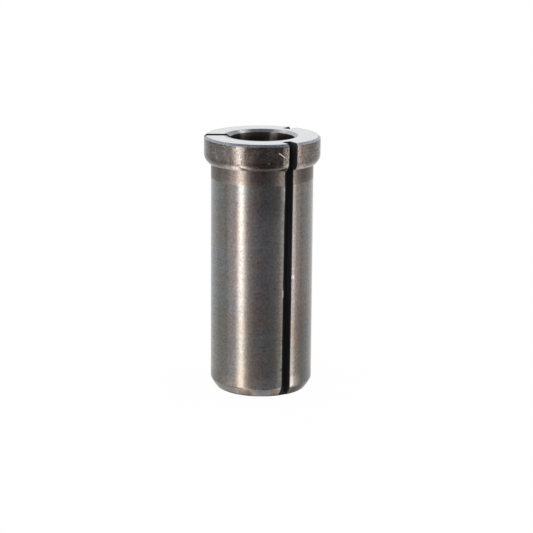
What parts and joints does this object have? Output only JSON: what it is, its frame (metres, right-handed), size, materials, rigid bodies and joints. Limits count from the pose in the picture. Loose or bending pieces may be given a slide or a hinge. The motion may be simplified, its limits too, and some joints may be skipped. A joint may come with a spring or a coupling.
{
  "type": "router collet",
  "caption": "Flanged router collet sleeve with a straight bore, slit along its length so that it closes on a cutter's shank.",
  "frame": {"origin": "centre of the foot's flat end face, on the sleeve's axis", "axes": "+Z along the bore axis from the foot up to the flange; the slit is on the -X side, and the two hinge grooves lie about 58 degrees from +X towards -Y and 56 degrees towards +Y"},
  "size_m": [0.0144, 0.0144, 0.032],
  "materials": {
    "spring_steel": "ground body, unground band under a lightly pitted flange, bright faced top"
  },
  "bodies": {
    "root": {"collet_sleeve": "spring_steel"}
  },
  "joints": []
}
